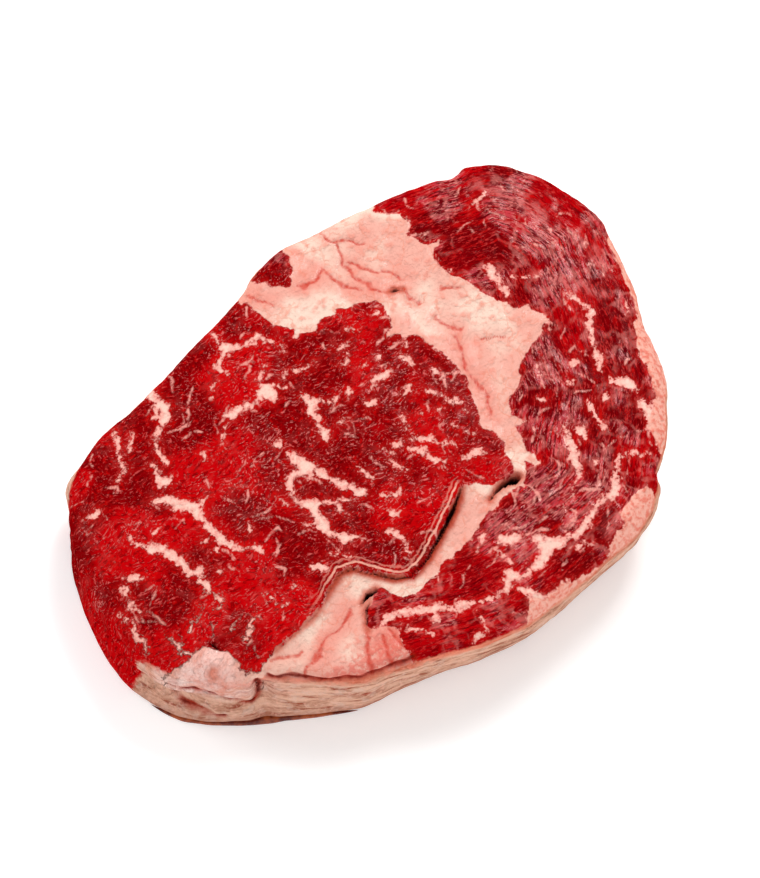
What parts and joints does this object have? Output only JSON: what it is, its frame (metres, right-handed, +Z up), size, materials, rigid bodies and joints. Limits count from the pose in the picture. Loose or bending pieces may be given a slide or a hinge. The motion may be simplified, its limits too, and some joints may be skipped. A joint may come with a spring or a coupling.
{
  "type": "ribeye steak",
  "caption": "Raw boneless ribeye steak: a thick slice of marbled beef with a wide eye muscle, a curved cap muscle, a broad fat seam between them and a rim of fat",
  "frame": {"origin": "middle of the bounding box in plan, on the flat lower cut face that the slice rests on", "axes": "+X along the slice's longer side, from the wide end of the eye muscle towards the cap muscle; +Y across it, towards the edge that the lean eye muscle reaches; +Z up through the thickness"},
  "size_m": [0.166, 0.117, 0.0265],
  "materials": {
    "meat": null
  },
  "bodies": {
    "root": {"ribeye_steak": "meat"}
  },
  "joints": []
}
